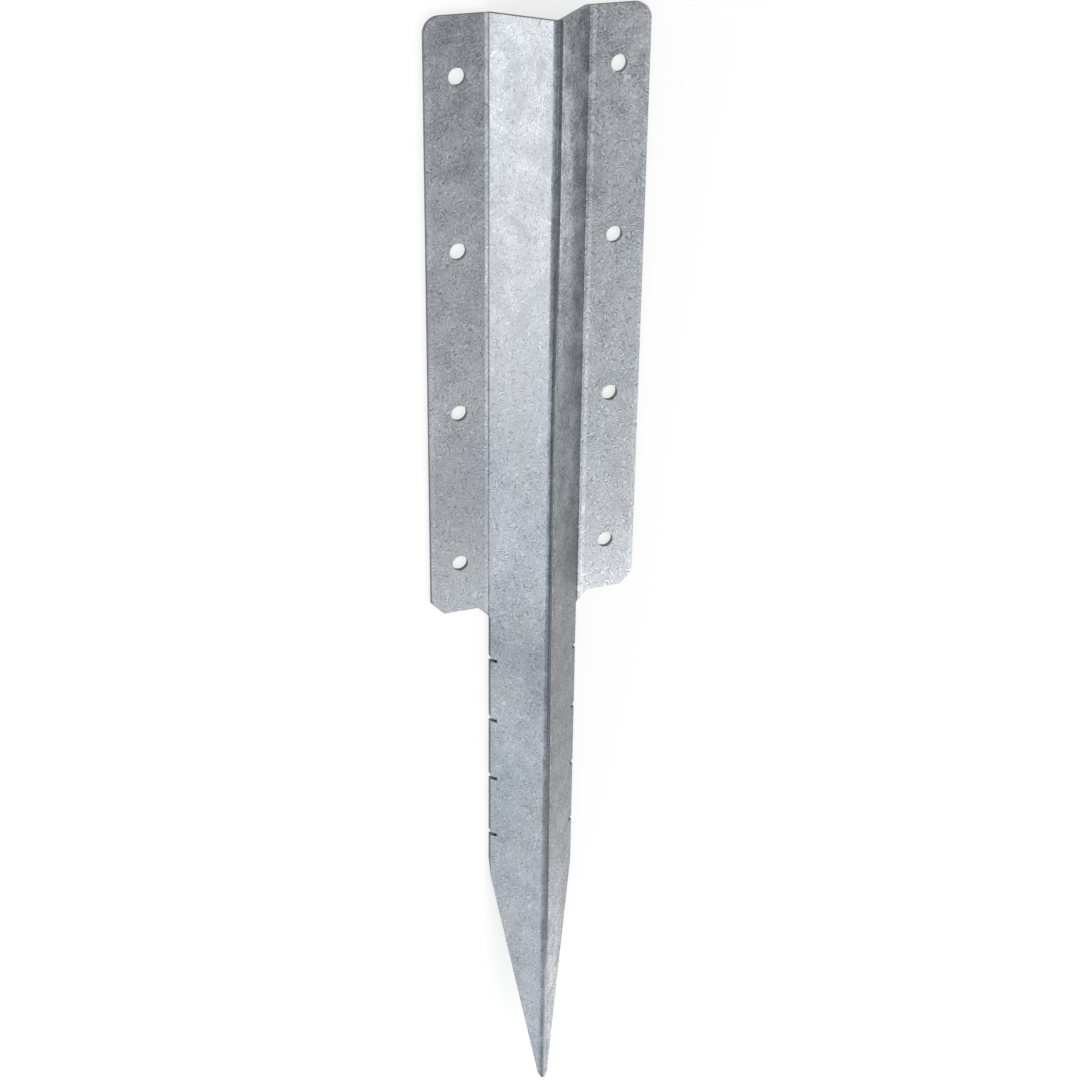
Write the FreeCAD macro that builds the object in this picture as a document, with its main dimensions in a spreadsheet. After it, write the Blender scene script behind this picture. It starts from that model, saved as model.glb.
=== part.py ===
import FreeCAD, Part
import math
import os

import Sketcher

# Ground spike for fixing a timber sleeper, folded from one piece of galvanised sheet: a ridge
# with a sloping web down each side, and a drilled flange beside each web on the upper half.
# Below the flanges the ridge and webs run on by themselves as the blade, which tapers to a
# blunt nose. X runs across the spike, +Y to its top end and +Z out of the ridge; the backs of
# the flanges lie on Z = 0 and the origin is midway between the ends. Sizes are in millimetres.
SIZES = {
    "overall_length": 550,  # top end to tip
    "overall_width": 100,  # across both flanges
    "spine_depth": 25,  # backs of the flanges to the crest of the ridge
    "sheet_thickness": 2.5,
    "bend_radius": 0.8,  # inside radius of the ridge and of both folds
    "flange_flat": 27.5,  # flat part of a flange, outer edge to fold
    "flange_length": 275,  # top end to the flanges' lower end
    "top_corner_radius": 7,
    "foot_chamfer": 6,  # on a flange's lower outer corner
    "relief_flare": 6,  # slope from a flange's lower end into the blade's edge
    "edge_trim": 1,  # fold to the blade's edge
    "hole_diameter": 7.5,
    "hole_count": 4,
    "hole_inset": 14,  # outer edge of a flange to its row of holes
    "hole_margin": 25,  # each end of a flange to the nearest hole
    "notch_count": 4,
    "share_above_notches": 0.187,  # of the blade's straight edge, from the flanges to the first notch
    "share_below_notches": 0.168,  # of the same edge, from the last notch to the taper
    "notch_width": 1.7,
    "notch_depth": 2.4,  # in from the blade's edge, seen from the front
    "notch_mouth_radius": 0.8,
    "taper_length": 120,  # its upper end to the tip of the nose
    "tip_width": 5.2,  # across the front, where the taper ends
    "nose_length": 3,  # of the blunt nose below the taper
    "nose_width": 1.6,  # across the end of the nose
}

doc = FreeCAD.newDocument("GroundSpike")
sheet = doc.addObject("Spreadsheet::Sheet", "Sizes")
for row, (alias, value) in enumerate(SIZES.items(), start=1):
    sheet.set(f"A{row}", alias)
    sheet.set(f"B{row}", str(value))
    sheet.setAlias(f"B{row}", alias)
doc.recompute()

# What follows from the sizes, as expressions.
HALF_LENGTH = "Sizes.overall_length / 2"
HALF_WIDTH = "Sizes.overall_width / 2"
OUTER_RADIUS = "(Sizes.bend_radius + Sizes.sheet_thickness)"
FOLD = "(Sizes.overall_width / 2 - Sizes.flange_flat)"
BLADE_EDGE = f"({FOLD} - Sizes.edge_trim)"
RIDGE_AXIS = "(Sizes.spine_depth - Sizes.sheet_thickness - Sizes.bend_radius)"
WEB_ANGLE = "HalfSection.Constraints.web_angle"
HOLE_ROW = "(Sizes.flange_length - 2 * Sizes.hole_margin)"
BLADE_EDGE_LENGTH = "(Sizes.overall_length - Sizes.flange_length - Sizes.taper_length)"
ABOVE_NOTCHES = f"(Sizes.share_above_notches * {BLADE_EDGE_LENGTH})"
NOTCH_ROW = f"((1 - Sizes.share_above_notches - Sizes.share_below_notches) * {BLADE_EDGE_LENGTH})"
CUT_PAST = "4 * Sizes.sheet_thickness"  # how far a cut runs on outside the sheet
LEAST_CUT = 0.1  # cubic millimetres, less than the smallest cut, which is a corner of the nose

# The points of an edge that a constraint can hold, and the edges that stand for a sketch's axes.
START, END, CENTRE = range(1, 4)
X_AXIS, Y_AXIS = range(-1, -3, -1)
ORIGIN = (X_AXIS, START)
QUARTER_TURN = math.pi / 2


def worth(expression):
    """The number that an expression stands for at the present sizes."""
    quantity = sheet.evalExpression(expression)
    return float(getattr(quantity, "Value", quantity))


def origin_feature(role):
    return next(feature for feature in body.Origin.OriginFeatures if feature.Role == role)


def sketch_on(plane_role, name):
    sketch = body.newObject("Sketcher::SketchObject", name)
    sketch.AttachmentSupport = (origin_feature(plane_role), [""])
    sketch.MapMode = "FlatFace"
    return sketch


def constrain(sketch, kind, *where):
    return sketch.addConstraint(Sketcher.Constraint(kind, *where))


def dimension(sketch, name, kind, where, expression):
    index = constrain(sketch, kind, *where, worth(expression))
    sketch.renameConstraint(index, name)
    sketch.setExpression(f"Constraints.{name}", expression)


def add_line(sketch, first, second, construction=False):
    line = Part.LineSegment(FreeCAD.Vector(*first, 0), FreeCAD.Vector(*second, 0))
    return sketch.addGeometry(line, construction)


def add_arc(sketch, centre, radius, from_angle, to_angle):
    circle = Part.Circle(FreeCAD.Vector(*centre, 0), FreeCAD.Vector(0, 0, 1), radius)
    return sketch.addGeometry(Part.ArcOfCircle(circle, from_angle, to_angle), False)


def add_polygon(sketch, corners):
    """Draw a closed outline of straight sides and return the number of each side."""
    sides = [add_line(sketch, first, second) for first, second in zip(corners, corners[1:] + corners[:1])]
    for side, following in zip(sides, sides[1:] + sides[:1]):
        constrain(sketch, "Coincident", side, END, following, START)
    return sides


def add_spine(sketch):
    """Draw the construction line from the tip to the top end that the cuts are measured from."""
    half_length = worth(HALF_LENGTH)
    spine = add_line(sketch, (0, -half_length), (0, half_length), construction=True)
    constrain(sketch, "PointOnObject", spine, START, Y_AXIS)
    constrain(sketch, "PointOnObject", spine, END, Y_AXIS)
    dimension(sketch, "tip", "DistanceY", (spine, START, *ORIGIN), HALF_LENGTH)
    dimension(sketch, "top", "DistanceY", (*ORIGIN, spine, END), HALF_LENGTH)
    return spine


def check_cut(feature, volume_before):
    if body.Shape.Volume > volume_before - LEAST_CUT:
        raise RuntimeError(f"{feature.Name} cuts nothing away")


def pocket_through(name, sketch):
    """Cut a sketched outline right through the sheet, square to the sketch."""
    doc.recompute()
    volume_before = body.Shape.Volume
    pocket = body.newObject("PartDesign::Pocket", name)
    pocket.Profile = sketch
    pocket.Type = "ThroughAll"
    pocket.SideType = "Symmetric"
    doc.recompute()
    check_cut(pocket, volume_before)
    return pocket


def repeat_towards_tip(feature, name, row_length, count):
    """Spread copies of a cut evenly over a row that runs from it towards the tip."""
    pattern = body.newObject("PartDesign::LinearPattern", name)
    pattern.Originals = [feature]
    pattern.Direction = (origin_feature("Y_Axis"), [""])
    pattern.Reversed = True
    pattern.Mode = "Extent"
    pattern.setExpression("Length", row_length)
    pattern.setExpression("Occurrences", count)
    body.Tip = pattern
    doc.recompute()


def cut_beside_line(name, sketch, lower_end, upper_end):
    """Cut away all that lies outside a slanting line, whose ends are given as x and as -y."""
    half_length = worth(HALF_LENGTH)
    past = worth(CUT_PAST)
    low_x, low_y = map(worth, lower_end)
    high_x, high_y = map(worth, upper_end)
    slant = (high_x - low_x) / (low_y - high_y)
    line = add_line(sketch, (low_x, -low_y), (high_x, -high_y), construction=True)
    outer_side, lower_side, slanting_side = add_polygon(
        sketch,
        [
            (high_x + past, past / slant - high_y),
            (high_x + past, -half_length - past),
            (low_x - (half_length + past - low_y) * slant, -half_length - past),
        ],
    )
    constrain(sketch, "Vertical", outer_side)
    constrain(sketch, "Horizontal", lower_side)
    constrain(sketch, "PointOnObject", line, START, slanting_side)
    constrain(sketch, "PointOnObject", line, END, slanting_side)
    dimension(sketch, "lower_x", "DistanceX", (*ORIGIN, line, START), lower_end[0])
    dimension(sketch, "lower_y", "DistanceY", (line, START, *ORIGIN), lower_end[1])
    dimension(sketch, "upper_x", "DistanceX", (*ORIGIN, line, END), upper_end[0])
    dimension(sketch, "upper_y", "DistanceY", (line, END, *ORIGIN), upper_end[1])
    past_edge = f"{upper_end[0]} + {CUT_PAST}"
    past_tip = f"{HALF_LENGTH} + {CUT_PAST}"
    dimension(sketch, "past_edge", "DistanceX", (*ORIGIN, outer_side, START), past_edge)
    dimension(sketch, "past_tip", "DistanceY", (lower_side, START, *ORIGIN), past_tip)
    pocket_through(name, sketch)


def work_edges(kind, name, edges, size_property, expression):
    """Round or chamfer some edges of the half spike."""
    base = body.Tip
    feature = body.newObject(f"PartDesign::{kind}", name)
    feature.Base = (base, edges)
    feature.setExpression(size_property, expression)
    doc.recompute()


def upright_edge(x, y):
    """The name of the edge that stands on the point x, y of the XY plane."""
    for number, edge in enumerate(body.Shape.Edges, start=1):
        if all(math.hypot(vertex.X - x, vertex.Y - y) < 0.001 for vertex in edge.Vertexes):
            return f"Edge{number}"
    raise RuntimeError(f"no upright edge at {x}, {y}")


body = doc.addObject("PartDesign::Body", "GroundSpike")
body.Label = "ground_spike"

# Half of the folded section, from the crest of the ridge down the web to the flange's outer edge.
# The ridge and the fold each have an inside and an outside arc about one centre. Both faces of
# the web are tangent to them, so the slope of the web follows from the depth and the width.
half_width = worth(HALF_WIDTH)
spine_depth = worth("Sizes.spine_depth")
thickness = worth("Sizes.sheet_thickness")
inside = worth("Sizes.bend_radius")
outside = worth(OUTER_RADIUS)
fold = worth(FOLD)
ridge_axis = worth(RIDGE_AXIS)
drop = ridge_axis - outside
web_angle = math.atan2(drop, fold) + math.asin((inside + outside) / math.hypot(fold, drop))
lean = math.sin(web_angle)
rise = math.cos(web_angle)

section = sketch_on("XZ_Plane", "HalfSection")
crest = add_line(section, (0, spine_depth), (0, spine_depth - thickness))
ridge_inside = add_arc(section, (0, ridge_axis), inside, QUARTER_TURN - web_angle, QUARTER_TURN)
web_back = add_line(
    section,
    (inside * lean, ridge_axis + inside * rise),
    (fold - outside * lean, outside - outside * rise),
)
fold_outside = add_arc(section, (fold, outside), outside, 3 * QUARTER_TURN - web_angle, 3 * QUARTER_TURN)
flange_back = add_line(section, (fold, 0), (half_width, 0))
flange_edge = add_line(section, (half_width, 0), (half_width, thickness))
flange_front = add_line(section, (half_width, thickness), (fold, thickness))
fold_inside = add_arc(section, (fold, outside), inside, 3 * QUARTER_TURN - web_angle, 3 * QUARTER_TURN)
web_front = add_line(
    section,
    (fold - inside * lean, outside - inside * rise),
    (outside * lean, ridge_axis + outside * rise),
)
ridge_outside = add_arc(section, (0, ridge_axis), outside, QUARTER_TURN - web_angle, QUARTER_TURN)

constrain(section, "Coincident", ridge_outside, END, crest, START)
constrain(section, "Coincident", crest, END, ridge_inside, END)
constrain(section, "Tangent", ridge_inside, START, web_back, START)
constrain(section, "Tangent", web_back, END, fold_outside, START)
constrain(section, "Tangent", fold_outside, END, flange_back, START)
constrain(section, "Coincident", flange_back, END, flange_edge, START)
constrain(section, "Coincident", flange_edge, END, flange_front, START)
constrain(section, "Tangent", flange_front, END, fold_inside, END)
constrain(section, "Tangent", fold_inside, START, web_front, START)
constrain(section, "Tangent", web_front, END, ridge_outside, START)
constrain(section, "Coincident", ridge_inside, CENTRE, ridge_outside, CENTRE)
constrain(section, "Coincident", fold_inside, CENTRE, fold_outside, CENTRE)
constrain(section, "PointOnObject", ridge_outside, CENTRE, Y_AXIS)
constrain(section, "PointOnObject", crest, START, Y_AXIS)
constrain(section, "PointOnObject", crest, END, Y_AXIS)
constrain(section, "PointOnObject", flange_back, START, X_AXIS)
constrain(section, "PointOnObject", flange_back, END, X_AXIS)
constrain(section, "Vertical", flange_edge)
constrain(section, "Horizontal", flange_front)
dimension(section, "half_width", "DistanceX", (*ORIGIN, flange_edge, START), HALF_WIDTH)
dimension(section, "flange_flat", "DistanceX", (flange_back, START, flange_back, END), "Sizes.flange_flat")
dimension(section, "spine_depth", "DistanceY", (*ORIGIN, crest, START), "Sizes.spine_depth")
dimension(section, "ridge_sheet", "DistanceY", (crest, END, crest, START), "Sizes.sheet_thickness")
dimension(section, "edge_sheet", "DistanceY", (flange_edge, START, flange_edge, END), "Sizes.sheet_thickness")
dimension(section, "ridge_radius", "Radius", (ridge_inside,), "Sizes.bend_radius")
dimension(section, "fold_radius", "Radius", (fold_inside,), "Sizes.bend_radius")
web_slope = constrain(section, "Angle", web_back, END, flange_back, END, web_angle)
section.setDriving(web_slope, False)
section.renameConstraint(web_slope, "web_angle")

folded_sheet = body.newObject("PartDesign::Pad", "FoldedSheet")
folded_sheet.Profile = section
folded_sheet.SideType = "Symmetric"
folded_sheet.setExpression("Length", "Sizes.overall_length")
doc.recompute()

# Below the flange only the web and the ridge are left, with a short slope into the blade's edge.
half_length = worth(HALF_LENGTH)
blade_edge = worth(BLADE_EDGE)
flange_end = half_length - worth("Sizes.flange_length")
flare = worth("Sizes.relief_flare")
past = worth(CUT_PAST)
outline = sketch_on("XY_Plane", "BesideBlade")
spine = add_spine(outline)
flare_side, flange_side, outer_side, lower_side, blade_side = add_polygon(
    outline,
    [
        (blade_edge, flange_end - flare),
        (blade_edge + flare, flange_end),
        (half_width + past, flange_end),
        (half_width + past, -half_length - past),
        (blade_edge, -half_length - past),
    ],
)
constrain(outline, "Horizontal", flange_side)
constrain(outline, "Vertical", outer_side)
constrain(outline, "Horizontal", lower_side)
constrain(outline, "Vertical", blade_side)
dimension(outline, "blade_edge", "DistanceX", (*ORIGIN, blade_side, START), BLADE_EDGE)
dimension(outline, "flare_width", "DistanceX", (flare_side, START, flare_side, END), "Sizes.relief_flare")
dimension(outline, "flare_height", "DistanceY", (flare_side, START, flare_side, END), "Sizes.relief_flare")
dimension(outline, "flange_length", "DistanceY", (flange_side, START, spine, END), "Sizes.flange_length")
dimension(outline, "past_flange", "DistanceX", (*ORIGIN, outer_side, START), f"{HALF_WIDTH} + {CUT_PAST}")
dimension(outline, "past_tip", "DistanceY", (lower_side, START, spine, START), CUT_PAST)
pocket_through("BladeOutline", outline)

foot_edge = upright_edge(half_width, flange_end)
work_edges("Chamfer", "FlangeFoot", [foot_edge], "Size", "Sizes.foot_chamfer")
top_edge = upright_edge(half_width, half_length)
work_edges("Fillet", "TopCorner", [top_edge], "Radius", "Sizes.top_corner_radius")

# The flange's row of holes, drilled from its front.
hole_centre = sketch_on("XY_Plane", "HoleCentre")
hole_centre.setExpression("AttachmentOffset.Base.z", "Sizes.sheet_thickness")
spine = add_spine(hole_centre)
hole_x = half_width - worth("Sizes.hole_inset")
hole_y = half_length - worth("Sizes.hole_margin")
hole_radius = worth("Sizes.hole_diameter / 2")
circle = Part.Circle(FreeCAD.Vector(hole_x, hole_y, 0), FreeCAD.Vector(0, 0, 1), hole_radius)
rim = hole_centre.addGeometry(circle, False)
dimension(hole_centre, "across", "DistanceX", (*ORIGIN, rim, CENTRE), f"{HALF_WIDTH} - Sizes.hole_inset")
dimension(hole_centre, "down", "DistanceY", (rim, CENTRE, spine, END), "Sizes.hole_margin")
dimension(hole_centre, "rim", "Diameter", (rim,), "Sizes.hole_diameter")
doc.recompute()
volume_undrilled = body.Shape.Volume
hole = body.newObject("PartDesign::Hole", "FlangeHole")
hole.Profile = hole_centre
hole.DepthType = "ThroughAll"
hole.setExpression("Diameter", "Sizes.hole_diameter")
doc.recompute()
check_cut(hole, volume_undrilled)
repeat_towards_tip(hole, "FlangeHoles", HOLE_ROW, "Sizes.hole_count")

# Slits in the blade's edge, with their mouths rounded.
slit = sketch_on("XY_Plane", "Slit")
spine = add_spine(slit)
slit_end = blade_edge - worth("Sizes.notch_depth")
slit_centre = flange_end - worth(ABOVE_NOTCHES)
half_slit = worth("Sizes.notch_width / 2")
upper_side, end_side, lower_side, open_side = add_polygon(
    slit,
    [
        (blade_edge + past, slit_centre + half_slit),
        (slit_end, slit_centre + half_slit),
        (slit_end, slit_centre - half_slit),
        (blade_edge + past, slit_centre - half_slit),
    ],
)
constrain(slit, "Horizontal", upper_side)
constrain(slit, "Vertical", end_side)
constrain(slit, "Horizontal", lower_side)
constrain(slit, "Vertical", open_side)
dimension(slit, "end", "DistanceX", (*ORIGIN, end_side, START), f"{BLADE_EDGE} - Sizes.notch_depth")
dimension(slit, "past_edge", "DistanceX", (*ORIGIN, open_side, START), f"{BLADE_EDGE} + {CUT_PAST}")
dimension(slit, "width", "DistanceY", (end_side, END, end_side, START), "Sizes.notch_width")
dimension(
    slit,
    "down",
    "DistanceY",
    (end_side, START, spine, END),
    f"Sizes.flange_length + {ABOVE_NOTCHES} - Sizes.notch_width / 2",
)
first_notch = pocket_through("Notch", slit)
repeat_towards_tip(first_notch, "Notches", NOTCH_ROW, "Sizes.notch_count")

mouth_edges = []
notch_count = round(worth("Sizes.notch_count"))
notch_pitch = worth(NOTCH_ROW) / max(notch_count - 1, 1)
for number in range(notch_count):
    notch_centre = slit_centre - number * notch_pitch
    mouth_edges.append(upright_edge(blade_edge, notch_centre + half_slit))
    mouth_edges.append(upright_edge(blade_edge, notch_centre - half_slit))
work_edges("Fillet", "NotchMouths", mouth_edges, "Radius", "Sizes.notch_mouth_radius")

# The taper is cut square to the web, in a plane that is parallel to the web through the axis of
# the ridge's bend. There X runs from that axis down the web.
TAPER_START = f"(({BLADE_EDGE} - {OUTER_RADIUS} * sin({WEB_ANGLE})) / cos({WEB_ANGLE}))"
TAPER_END = f"((Sizes.tip_width / 2 - {OUTER_RADIUS} * sin({WEB_ANGLE})) / cos({WEB_ANGLE}))"
taper = sketch_on("XY_Plane", "BesideTaper")
taper.AttachmentOffset = FreeCAD.Placement(FreeCAD.Vector(), FreeCAD.Rotation(FreeCAD.Vector(0, 1, 0), 1))
taper.setExpression("AttachmentOffset.Base.z", RIDGE_AXIS)
taper.setExpression("AttachmentOffset.Rotation.Angle", WEB_ANGLE)
TAPER_START_DOWN = f"({HALF_LENGTH} - Sizes.taper_length)"
TAPER_END_DOWN = f"({HALF_LENGTH} - Sizes.nose_length)"
cut_beside_line("Taper", taper, (TAPER_END, TAPER_END_DOWN), (TAPER_START, TAPER_START_DOWN))

# The two corners of the tip are cropped, which leaves a blunt nose.
nose = sketch_on("XY_Plane", "BesideNose")
NOSE_END = ("Sizes.nose_width / 2", HALF_LENGTH)
NOSE_START = ("Sizes.tip_width / 2", TAPER_END_DOWN)
cut_beside_line("Nose", nose, NOSE_END, NOSE_START)

both_halves = body.newObject("PartDesign::Mirrored", "BothHalves")
both_halves.TransformMode = "Whole shape"
both_halves.MirrorPlane = (origin_feature("YZ_Plane"), [""])
body.Tip = both_halves
doc.recompute()

for item in doc.Objects:
    if {"Invalid", "Error"} & set(item.State):
        raise RuntimeError(f"{item.Name}: {item.State}")
if body.Shape.isNull() or not body.Shape.isValid() or len(body.Shape.Solids) != 1:
    raise RuntimeError("the spike isn't one valid solid")

os.makedirs("parts", exist_ok=True)
body.Shape.exportStep(f"parts/{body.Label}.step")
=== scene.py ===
import math

import bpy
from mathutils import Matrix, Vector


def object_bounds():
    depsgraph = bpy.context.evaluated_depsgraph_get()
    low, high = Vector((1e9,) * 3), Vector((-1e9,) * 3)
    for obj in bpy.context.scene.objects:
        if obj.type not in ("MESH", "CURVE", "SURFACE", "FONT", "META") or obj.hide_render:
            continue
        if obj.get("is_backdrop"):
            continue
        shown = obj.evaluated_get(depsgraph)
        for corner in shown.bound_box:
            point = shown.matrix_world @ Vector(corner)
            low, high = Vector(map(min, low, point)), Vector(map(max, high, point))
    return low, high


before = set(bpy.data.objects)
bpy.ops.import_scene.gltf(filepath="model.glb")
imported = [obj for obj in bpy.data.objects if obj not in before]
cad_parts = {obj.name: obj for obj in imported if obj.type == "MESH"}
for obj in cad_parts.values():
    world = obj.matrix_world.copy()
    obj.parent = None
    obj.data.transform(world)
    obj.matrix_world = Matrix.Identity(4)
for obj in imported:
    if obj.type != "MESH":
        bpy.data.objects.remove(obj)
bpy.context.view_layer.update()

# The ground spike is one sheet of mild steel, punched and cropped flat and then pressed into two
# flanges with their rows of holes and a V-shaped ridge, which runs on below them as a pointed blade.
# Nothing is welded, riveted or screwed to it, and it lies on the backs of its flanges.
MILLIMETRE = 0.001
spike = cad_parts["ground_spike"]


def linear(hex_colour):
    """An sRGB hex colour as linear red, green, blue and alpha."""
    parts = [int(hex_colour[i:i + 2], 16) / 255 for i in (1, 3, 5)]
    return [p / 12.92 if p <= 0.04045 else ((p + 0.055) / 1.055) ** 2.4 for p in parts] + [1.0]


# Its skin is hot-dip galvanising, a few hundredths of a millimetre of zinc that the whole piece took
# on in a molten bath. To the eye it is a satin blue-grey metal, with fine curls where the zinc froze,
# dark specks of dross and scratches from handling. Its colour also holds painted light: painted shade
# and painted highlights along the crown and the folds, painted shade and sheen in broad bands, and
# darker cut edges, partly for the duller cut zinc and partly as painted shade.
zinc = bpy.data.materials.new("hot_dip_galvanised_steel")
zinc.use_nodes = True
tree = zinc.node_tree
shader = tree.nodes["Principled BSDF"]


def add_node(kind, inputs=None, output=0, **settings):
    """Add a node with its settings, set or link its inputs, and return one of its outputs."""
    node = tree.nodes.new("ShaderNode" + kind)
    for name, setting in settings.items():
        setattr(node, name, setting)
    for socket, source in (inputs or {}).items():
        if isinstance(source, bpy.types.NodeSocket):
            tree.links.new(source, node.inputs[socket])
        else:
            node.inputs[socket].default_value = source
    return node.outputs[output]


place = add_node("TexCoord", output="Object")
spot = add_node("SeparateXYZ", {0: place}, "X").node.outputs

# Curls: the contour lines of a noise, stirred by a second one and broken into short pieces.
NOISE_MIDDLE = 0.5
CURL_CELL = 4.1 * MILLIMETRE
CURL_STIR = 2.4 * MILLIMETRE
CURL_RINGS = 8
CURL_LENGTH = 2 * MILLIMETRE
CURL_GAPS = (0.4, 0.62)
stir = add_node("TexNoise", {"Vector": place, "Scale": 1 / CURL_CELL}, "Color")
stir = add_node("VectorMath", {0: stir, 1: [NOISE_MIDDLE] * 3}, operation="SUBTRACT")
stirred = add_node("VectorMath", {0: stir, 1: [CURL_STIR] * 3, 2: place}, operation="MULTIPLY_ADD")
rings = add_node("TexNoise", {"Vector": stirred, "Scale": 1 / CURL_CELL, "Detail": 1.0})
rings = add_node("Math", {0: rings, 1: CURL_RINGS * 2 * math.pi}, operation="MULTIPLY")
rings = add_node("Math", {0: rings}, operation="SINE")
pieces = add_node("TexNoise", {"Vector": place, "Scale": 1 / CURL_LENGTH, "Detail": 1.0})
pieces = add_node("MapRange", {"Value": pieces, "From Min": CURL_GAPS[0], "From Max": CURL_GAPS[1]},
                  interpolation_type="SMOOTHSTEP")
curls = add_node("Math", {0: rings, 1: pieces}, operation="MULTIPLY")

# The grain of the zinc and its blooms, each about zero.
GRAIN_SIZE = 1.1 * MILLIMETRE
BLOOM_SIZE = 9 * MILLIMETRE
grain = add_node("TexNoise", {"Vector": stirred, "Scale": 1 / GRAIN_SIZE, "Roughness": 0.6})
grain = add_node("Math", {0: grain, 1: NOISE_MIDDLE}, operation="SUBTRACT")
blooms = add_node("TexNoise", {"Vector": stirred, "Scale": 1 / BLOOM_SIZE, "Detail": 3.0})
blooms = add_node("Math", {0: blooms, 1: NOISE_MIDDLE}, operation="SUBTRACT")

# Stains: broad cloudy patches, twice as long down the piece, as the bath ran off it.
STAIN_SIZE = 30 * MILLIMETRE
STAIN_STRETCH = 0.45
run_off = add_node("Mapping", {"Vector": place, "Scale": (1, STAIN_STRETCH, 1)})
stains = add_node("TexNoise", {"Vector": run_off, "Scale": 1 / STAIN_SIZE, "Detail": 4.0})
stains = add_node("Math", {0: stains, 1: NOISE_MIDDLE}, operation="SUBTRACT")

# Specks of dross, up to a millimetre across, in half of the cells of a net.
SPECK_NET = 3.4 * MILLIMETRE
BARE_CELLS = 0.5
SPECK_REACH = 0.16
SPECK_SOFTNESS = 0.08
net = add_node("TexVoronoi", {"Vector": place, "Scale": 1 / SPECK_NET}, "Distance").node.outputs
chance = add_node("SeparateColor", {"Color": net["Color"]})
reach = add_node("MapRange", {"Value": chance, "From Min": BARE_CELLS, "To Max": SPECK_REACH})
specks = add_node("Math", {0: reach, 1: net["Distance"]}, operation="SUBTRACT")
specks = add_node("MapRange", {"Value": specks, "From Max": SPECK_SOFTNESS},
                  interpolation_type="SMOOTHSTEP")

# Scratches from handling, drawn twice as wide as they are so that they show. For each of their three
# directions: how it is turned, in degrees, and how long its scratches are, in millimetres.
SCRATCH_WIDTH = 0.7 * MILLIMETRE
SCRATCH_LEVELS = (0.7, 0.8)
SCRATCH_RISE = 0.05
scratches = 0.0
for turned, length in ((38, 14), (-52, 20), (8, 26)):
    lane = add_node("VectorRotate", {"Vector": stirred, "Angle": math.radians(turned)},
                    rotation_type="Z_AXIS")
    narrow = SCRATCH_WIDTH / MILLIMETRE / length
    lane = add_node("Mapping", {"Vector": lane, "Scale": (1, narrow, SCRATCH_RISE)})
    lane = add_node("TexNoise", {"Vector": lane, "Scale": 1 / SCRATCH_WIDTH, "Detail": 0.0})
    lane = add_node("MapRange", {"Value": lane, "From Min": SCRATCH_LEVELS[0],
                                 "From Max": SCRATCH_LEVELS[1]}, interpolation_type="SMOOTHSTEP")
    scratches = add_node("Math", {0: lane, 1: scratches}, operation="MAXIMUM")

# Cut edges and the walls of holes and notches face sideways or along the piece, not outwards.
OUTWARD_LIMIT = 0.1
LENGTHWAYS_LIMIT = 0.08
facing = add_node("TexCoord", output="Normal")
facing = add_node("SeparateXYZ", {0: facing}, "X").node.outputs
sideways = add_node("Math", {0: facing["Z"]}, operation="ABSOLUTE")
sideways = add_node("Math", {0: sideways, 1: OUTWARD_LIMIT}, operation="LESS_THAN")
lengthways = add_node("Math", {0: facing["Y"]}, operation="ABSOLUTE")
lengthways = add_node("Math", {0: lengthways, 1: LENGTHWAYS_LIMIT}, operation="GREATER_THAN")
cut = add_node("Math", {0: sideways, 1: lengthways}, operation="MAXIMUM")

# The webs and flanges of the piece. The zinc froze in a bolder pattern on the right half and above
# all on its web, without the blue cast there, and in a fainter pattern on the upper left web.
CROWN_END = 2.5 * MILLIMETRE
CROWN_SOFTNESS = 1 * MILLIMETRE
WEB_END = 22.2 * MILLIMETRE
FLANGE_START = 22.7 * MILLIMETRE
UPPER_START = 60 * MILLIMETRE
UPPER_FULL = 180 * MILLIMETRE
RIDGE_NEAR = 8 * MILLIMETRE
RIDGE_FAR = 15 * MILLIMETRE
from_middle = add_node("Math", {0: spot["X"]}, operation="ABSOLUTE")
web = add_node("MapRange", {"Value": from_middle, "From Min": FLANGE_START, "From Max": WEB_END})
flange = add_node("Math", {0: 1.0, 1: web}, operation="SUBTRACT")
right_half = add_node("MapRange", {"Value": spot["X"], "From Min": CROWN_END - CROWN_SOFTNESS,
                                   "From Max": CROWN_END})
left_half = add_node("MapRange", {"Value": spot["X"], "From Min": -CROWN_END + CROWN_SOFTNESS,
                                  "From Max": -CROWN_END})
right_web = add_node("Math", {0: right_half, 1: web}, operation="MULTIPLY")
left_web = add_node("Math", {0: left_half, 1: web}, operation="MULTIPLY")
right_flange = add_node("Math", {0: right_half, 1: flange}, operation="MULTIPLY")
left_flange = add_node("Math", {0: left_half, 1: flange}, operation="MULTIPLY")
upper_part = add_node("MapRange", {"Value": spot["Y"], "From Min": UPPER_START,
                                   "From Max": UPPER_FULL}, interpolation_type="SMOOTHSTEP")
faint_web = add_node("Math", {0: left_web, 1: upper_part}, operation="MULTIPLY")
beside_ridge = add_node("MapRange", {"Value": spot["X"], "From Min": RIDGE_FAR,
                                     "From Max": RIDGE_NEAR}, interpolation_type="SMOOTHSTEP")
beside_ridge = add_node("Math", {0: beside_ridge, 1: right_web}, operation="MULTIPLY")
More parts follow.
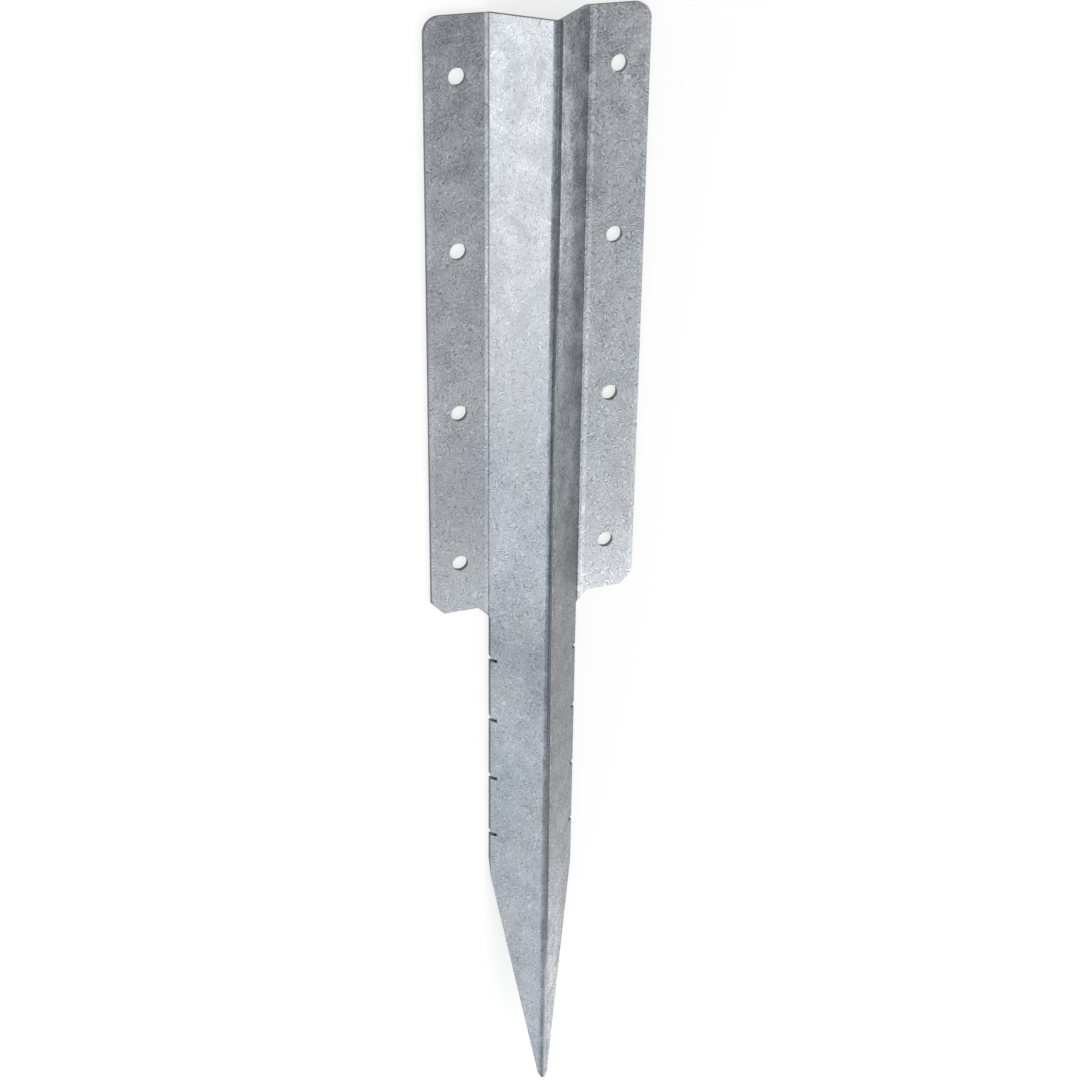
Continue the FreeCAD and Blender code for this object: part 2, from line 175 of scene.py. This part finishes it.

# Broad bands painted darker or brighter along the piece, as painted shade and painted sheen: the
# middle of the right web is painted darker for the floor in shade that it mirrors, the upper right web
# beside the ridge and the foot of the right flange carry a painted sheen, and the left flange and the
# left web are painted darker in places. For each: what it lies on, its middle and how far it reaches
# along the piece, in millimetres, and how it changes the colour.
painted_shade_and_sheen = 1.0
for side, middle, reached, change in (
    (right_web, -30, 240, -0.46),
    (beside_ridge, 190, 90, 0.5),
    (beside_ridge, 95, 45, -0.15),
    (beside_ridge, -190, 120, 0.2),
    (right_flange, 250, 45, 0.1),
    (right_flange, 0, 50, 0.27),
    (left_flange, 150, 45, -0.07),
    (left_flange, 55, 50, -0.18),
    (left_web, 75, 50, -0.08),
    (left_web, -22, 45, -0.16),
):
    painted_band = add_node("Math", {0: spot["Y"], 1: middle * MILLIMETRE}, operation="SUBTRACT")
    painted_band = add_node("Math", {0: painted_band}, operation="ABSOLUTE")
    painted_band = add_node("MapRange", {"Value": painted_band, "From Min": reached * MILLIMETRE, "From Max": 0.0},
                    interpolation_type="SMOOTHSTEP")
    painted_band = add_node("Math", {0: painted_band, 1: side}, operation="MULTIPLY")
    change = add_node("Math", {0: painted_band, 1: change, 2: 1.0}, operation="MULTIPLY_ADD")
    painted_shade_and_sheen = add_node("Math", {0: change, 1: painted_shade_and_sheen}, operation="MULTIPLY")

# A dark core of painted shade runs along the crown. It drifts to the right above and below its
# leftmost place, and it fades out near the tip.
CORE_LEFTMOST = 88 * MILLIMETRE
CORE_LEFTMOST_DRIFT = -0.55 * MILLIMETRE
CORE_TOP = 200 * MILLIMETRE
CORE_TOP_DRIFT = 1.5 * MILLIMETRE
CORE_FOOT = -140 * MILLIMETRE
CORE_FOOT_DRIFT = 0.5 * MILLIMETRE
CORE_FULL = -180 * MILLIMETRE
CORE_GONE = -215 * MILLIMETRE
core_above = add_node("MapRange", {"Value": spot["Y"], "From Min": CORE_LEFTMOST,
                                   "From Max": CORE_TOP, "To Max": CORE_TOP_DRIFT})
core_below = add_node("MapRange", {"Value": spot["Y"], "From Min": CORE_LEFTMOST,
                                   "From Max": CORE_FOOT, "To Min": CORE_LEFTMOST_DRIFT,
                                   "To Max": CORE_FOOT_DRIFT})
from_core = add_node("Math", {0: spot["X"], 1: core_above}, operation="SUBTRACT")
from_core = add_node("Math", {0: from_core, 1: core_below}, operation="SUBTRACT")
core_fade = add_node("MapRange", {"Value": spot["Y"], "From Min": CORE_GONE, "From Max": CORE_FULL})

# The painted shade on the crown's right shoulder is dark only in the middle of the piece, and the
# painted highlights on the left fold are brightest on its upper part. All the painted marks are
# uneven, and the crown has painted glints beside its core.
SHOULDER_MIDDLE = -30 * MILLIMETRE
SHOULDER_FULL = 120 * MILLIMETRE
SHOULDER_GONE = 180 * MILLIMETRE
PATCHINESS_SIZE = 6 * MILLIMETRE
PATCHINESS_STRETCH = 0.3
PATCHINESS_NOISE = (0.3, 0.7)
PATCHINESS = (0.7, 1.3)
LEFT_HIGHLIGHT_START = 60 * MILLIMETRE
LEFT_HIGHLIGHT_FULL = 150 * MILLIMETRE
LEFT_HIGHLIGHT = (0.3, 1.3)
GLINT_SIZE = 1.6 * MILLIMETRE
GLINT_NOISE = (0.5, 0.66)
middle_part = add_node("Math", {0: spot["Y"], 1: SHOULDER_MIDDLE}, operation="SUBTRACT")
middle_part = add_node("Math", {0: middle_part}, operation="ABSOLUTE")
middle_part = add_node("MapRange", {"Value": middle_part, "From Min": SHOULDER_GONE,
                                    "From Max": SHOULDER_FULL})
mark_patchiness = add_node("Mapping", {"Vector": place, "Scale": (1, PATCHINESS_STRETCH, 1)})
mark_patchiness = add_node("TexNoise", {"Vector": mark_patchiness, "Scale": 1 / PATCHINESS_SIZE, "Detail": 3.0})
mark_patchiness = add_node("MapRange", {"Value": mark_patchiness, "From Min": PATCHINESS_NOISE[0], "From Max": PATCHINESS_NOISE[1],
                             "To Min": PATCHINESS[0], "To Max": PATCHINESS[1]})
left_highlight_fade = add_node("MapRange", {"Value": spot["Y"], "From Min": LEFT_HIGHLIGHT_START,
                                  "From Max": LEFT_HIGHLIGHT_FULL, "To Min": LEFT_HIGHLIGHT[0],
                                  "To Max": LEFT_HIGHLIGHT[1]})
left_highlight_fade = add_node("Math", {0: left_highlight_fade, 1: mark_patchiness}, operation="MULTIPLY")
glint_breakup = add_node("TexNoise", {"Vector": place, "Scale": 1 / GLINT_SIZE})
glint_breakup = add_node("MapRange", {"Value": glint_breakup, "From Min": GLINT_NOISE[0],
                                "From Max": GLINT_NOISE[1]})

# Painted light along the crown, the folds and the outer edges: painted highlights on the crown's left
# shoulder, on the left fold, on the rims beside both folds and on the outer rims, painted glints
# beside the core, and painted shade on the crown, its core, its right shoulder and the right fold.
# For each mark: what it is measured from, its start and end and how soft its sides are, in
# millimetres, how it changes the colour, and what it is broken up by.
marks = {}
painted_mark_light = 1.0
for name, measured, start, finish, softness, change, broken in (
    ("left_shoulder", spot["X"], -2.1, -1.1, 0.4, 0.3, mark_patchiness),
    ("right_shoulder", spot["X"], 0.5, 1.2, 0.4, -0.4, middle_part),
    ("crown", spot["X"], -0.8, 0.3, 0.6, -0.3, mark_patchiness),
    ("core", from_core, -0.6, 0.5, 0.5, -0.5, core_fade),
    ("painted_glints", from_core, 1.1, 1.3, 0.25, 0.8, glint_breakup),
    ("left_rim", spot["X"], -23.8, -23.1, 0.4, 0.5, left_highlight_fade),
    ("left_fold", spot["X"], -22.9, -22.4, 0.25, 0.3, left_highlight_fade),
    ("right_fold", spot["X"], 21.5, 22.3, 0.3, -0.12, mark_patchiness),
    ("right_rim", spot["X"], 23.9, 25.0, 0.5, 0.25, mark_patchiness),
    ("outer_rim", from_middle, 48.2, 49.6, 0.5, 0.1, mark_patchiness),
):
    low, high, soft = start * MILLIMETRE, finish * MILLIMETRE, softness * MILLIMETRE
    rise = add_node("MapRange", {"Value": measured, "From Min": low - soft, "From Max": low},
                    interpolation_type="SMOOTHSTEP")
    fall = add_node("MapRange", {"Value": measured, "From Min": high + soft, "From Max": high},
                    interpolation_type="SMOOTHSTEP")
    mark = add_node("Math", {0: rise, 1: fall}, operation="MULTIPLY")
    marks[name] = add_node("Math", {0: mark, 1: broken}, operation="MULTIPLY")
    change = add_node("Math", {0: marks[name], 1: change, 2: 1.0}, operation="MULTIPLY_ADD")
    painted_mark_light = add_node("Math", {0: change, 1: painted_mark_light}, operation="MULTIPLY")

# The colour: two greys of the zinc by its pattern, then paler or darker by the stains, specks and
# scratches on it, and by painted light.
ZINC_GREYS = ((0.15, "#82868a"), (0.85, "#bec2c6"))
TONE_MIDDLE = 0.5
pattern = 0.0
for layer, weight in ((curls, 0.26), (grain, 0.9), (blooms, 0.75)):
    pattern = add_node("Math", {0: layer, 1: weight, 2: pattern}, operation="MULTIPLY_ADD")
strength = 1.0
for layer, weight in ((right_half, 0.2), (right_web, 0.8), (faint_web, -0.45)):
    strength = add_node("Math", {0: layer, 1: weight, 2: strength}, operation="MULTIPLY_ADD")
tone = add_node("Math", {0: pattern, 1: strength, 2: TONE_MIDDLE}, operation="MULTIPLY_ADD")
tones = add_node("ValToRGB", {"Fac": tone})
for stop, (position, grey) in zip(tones.node.color_ramp.elements, ZINC_GREYS):
    stop.position, stop.color = position, linear(grey)
shade = add_node("Math", {0: painted_mark_light, 1: painted_shade_and_sheen}, operation="MULTIPLY")
# Painted light also makes the right web and the right flange brighter, and it makes the cut edges and
# the walls of holes and notches darker, partly for their duller cut zinc and partly as painted shade.
for layer, change in ((stains, 0.7), (right_web, 0.3), (right_flange, 0.04), (specks, -0.35),
                      (scratches, 0.15), (cut, -0.45)):
    change = add_node("Math", {0: layer, 1: change, 2: 1.0}, operation="MULTIPLY_ADD")
    shade = add_node("Math", {0: change, 1: shade}, operation="MULTIPLY")

# A faint cast: bluer or warmer in patches, bluest on the left shoulder of the crown, as a painted
# reflection there, and warmest on the right web and on the foot of the right flange, whose whiter tint
# goes with its painted sheen.
CAST_SIZE = 22 * MILLIMETRE
CASTS = ((0.0, "#e9f1fc"), (0.3, "#f9fbff"), (0.7, "#fefdfc"))
FOOT_START = 70 * MILLIMETRE
FOOT_FULL = 10 * MILLIMETRE
cast = add_node("TexNoise", {"Vector": run_off, "Scale": 1 / CAST_SIZE})
right_foot = add_node("MapRange", {"Value": spot["Y"], "From Min": FOOT_START, "From Max": FOOT_FULL})
right_foot = add_node("Math", {0: right_foot, 1: right_flange}, operation="MULTIPLY")
for layer, weight in ((marks["left_shoulder"], -0.6), (right_web, 0.4), (right_foot, 0.5),
                      (left_web, -0.2), (faint_web, 0.4)):
    cast = add_node("Math", {0: layer, 1: weight, 2: cast}, operation="MULTIPLY_ADD")
casts = add_node("ValToRGB", {"Fac": cast})
casts.node.color_ramp.elements.new(CASTS[1][0])
for stop, (position, tint) in zip(casts.node.color_ramp.elements, CASTS):
    stop.position, stop.color = position, linear(tint)
colour = add_node("VectorMath", {0: tones, 1: casts}, operation="MULTIPLY")
colour = add_node("VectorMath", {0: colour, "Scale": shade}, operation="SCALE")
tree.links.new(colour, shader.inputs["Base Color"])

# The satin: uneven with the blooms, the grain and the stains, and rougher on the cut edges.
ZINC_ROUGHNESS = 0.4
roughness = ZINC_ROUGHNESS
for layer, weight in ((blooms, 0.35), (grain, 0.3), (cut, 0.15), (stains, 0.3)):
    roughness = add_node("Math", {0: layer, 1: weight, 2: roughness}, operation="MULTIPLY_ADD")
tree.links.new(roughness, shader.inputs["Roughness"])

# The relief: the pattern is a few hundredths of a millimetre deep.
relief = 0.0
for layer, depth in ((curls, 0.015), (grain, 0.015), (blooms, 0.04), (specks, -0.03)):
    relief = add_node("Math", {0: layer, 1: depth * MILLIMETRE, 2: relief}, operation="MULTIPLY_ADD")
bumped = add_node("Bump", {"Height": relief, "Distance": 1.0})
tree.links.new(bumped, shader.inputs["Normal"])
shader.inputs["Metallic"].default_value = 1.0
spike.data.materials.clear()
spike.data.materials.append(zinc)

# The floor is a sheet of white-painted board, on which the spike lies on its two flanges. The paint
# is matt, so the eye sees an even white with the spike's soft shadow.
FLOOR_REACH = 30.0
PAINT_ROUGHNESS = 0.9
floor_mesh = bpy.data.meshes.new("floor")
corners = [(x * FLOOR_REACH, y * FLOOR_REACH, 0) for x, y in ((-1, -1), (1, -1), (1, 1), (-1, 1))]
floor_mesh.from_pydata(corners, [], [(0, 1, 2, 3)])
floor = bpy.data.objects.new("floor", floor_mesh)
bpy.context.scene.collection.objects.link(floor)
floor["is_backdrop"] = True
paint = bpy.data.materials.new("matt_white_paint")
paint.use_nodes = True
tree = paint.node_tree
paint_shader = tree.nodes["Principled BSDF"]
paint_shader.inputs["Base Color"].default_value = linear("#b4b4b4")
paint_shader.inputs["Roughness"].default_value = PAINT_ROUGHNESS
floor_mesh.materials.append(paint)

# The board reads as white to the eye, and in the metal that mirrors it, while it keeps its shadow.
WHITENING = 0.68
ray = add_node("LightPath").node.outputs
seen = add_node("Math", {0: ray["Is Camera Ray"], 1: ray["Is Glossy Ray"]}, operation="MAXIMUM")
seen = add_node("Math", {0: ray["Is Transmission Ray"], 1: seen}, operation="MAXIMUM")
seen = add_node("Math", {0: seen, 1: WHITENING}, operation="MULTIPLY")
tree.links.new(seen, paint_shader.inputs["Emission Strength"])
paint_shader.inputs["Emission Color"].default_value = (1, 1, 1, 1)

# Soft light from all round, and three studio lamps with wide screens: two stand low at the left, one
# of them towards the tip, and one is higher, beyond the tip at the right. For each: degrees round
# from +X, degrees up, watts, and the width and height of its screen in metres.
WORLD_STRENGTH = 0.5
world = bpy.data.worlds.new("studio")
bpy.context.scene.world = world
world.use_nodes = True
world.node_tree.nodes["Background"].inputs["Color"].default_value = (1, 1, 1, 1)
world.node_tree.nodes["Background"].inputs["Strength"].default_value = WORLD_STRENGTH
LAMP_DISTANCE = 2.0
LOW_SCREEN = (1.5, 0.75)
HIGH_SCREEN = (1.6, 1.6)
LAMPS = {
    "lamp_left": (180, 12, 11.8, LOW_SCREEN),
    "lamp_front_left": (225, 12, 3.8, LOW_SCREEN),
    "lamp_front_right": (306, 40, 12.6, HIGH_SCREEN),
}
for name, (azimuth, elevation, watts, (width, height)) in LAMPS.items():
    lamp_data = bpy.data.lights.new(name, "AREA")
    lamp_data.shape = "RECTANGLE"
    lamp_data.size = width
    lamp_data.size_y = height
    lamp_data.energy = watts
    lamp = bpy.data.objects.new(name, lamp_data)
    bpy.context.scene.collection.objects.link(lamp)
    level = math.cos(math.radians(elevation))
    outward = Vector((math.cos(math.radians(azimuth)) * level, math.sin(math.radians(azimuth)) * level,
                      math.sin(math.radians(elevation))))
    lamp.location = outward * LAMP_DISTANCE
    lamp.rotation_euler = outward.to_track_quat("Z", "Y").to_euler()
    lamp.visible_camera = False

# The camera looks down on the spike from beyond its top end and from its left. Its place is given by
# where the middle of the flanges' top end lies in its own axes, and by how it is turned.
IMAGE_WIDTH = 1080
FOCAL_LENGTH_PIXELS = 2020
camera_data = bpy.data.cameras.new("camera")
camera = bpy.data.objects.new("camera", camera_data)
bpy.context.scene.collection.objects.link(camera)
bpy.context.scene.camera = camera
camera_data.sensor_width = 36
camera_data.lens = camera_data.sensor_width * FOCAL_LENGTH_PIXELS / IMAGE_WIDTH
camera_data.clip_start = 0.01
camera_data.clip_end = 50
yaw, pitch, roll = (math.radians(angle) for angle in (21.13, 27.32, -0.75))
turn = Matrix.Rotation(-yaw, 3, "Y") @ Matrix.Rotation(-pitch, 3, "X") @ Matrix.Rotation(-roll, 3, "Z")
top_middle = Vector((0, 275, 2.5)) * MILLIMETRE
seen_at = Vector((0.02, 216.84, -825.0)) * MILLIMETRE
camera.matrix_world = Matrix.Translation(top_middle - turn @ seen_at) @ turn.to_4x4()

bpy.context.scene.view_settings.view_transform = "Standard"
low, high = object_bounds()
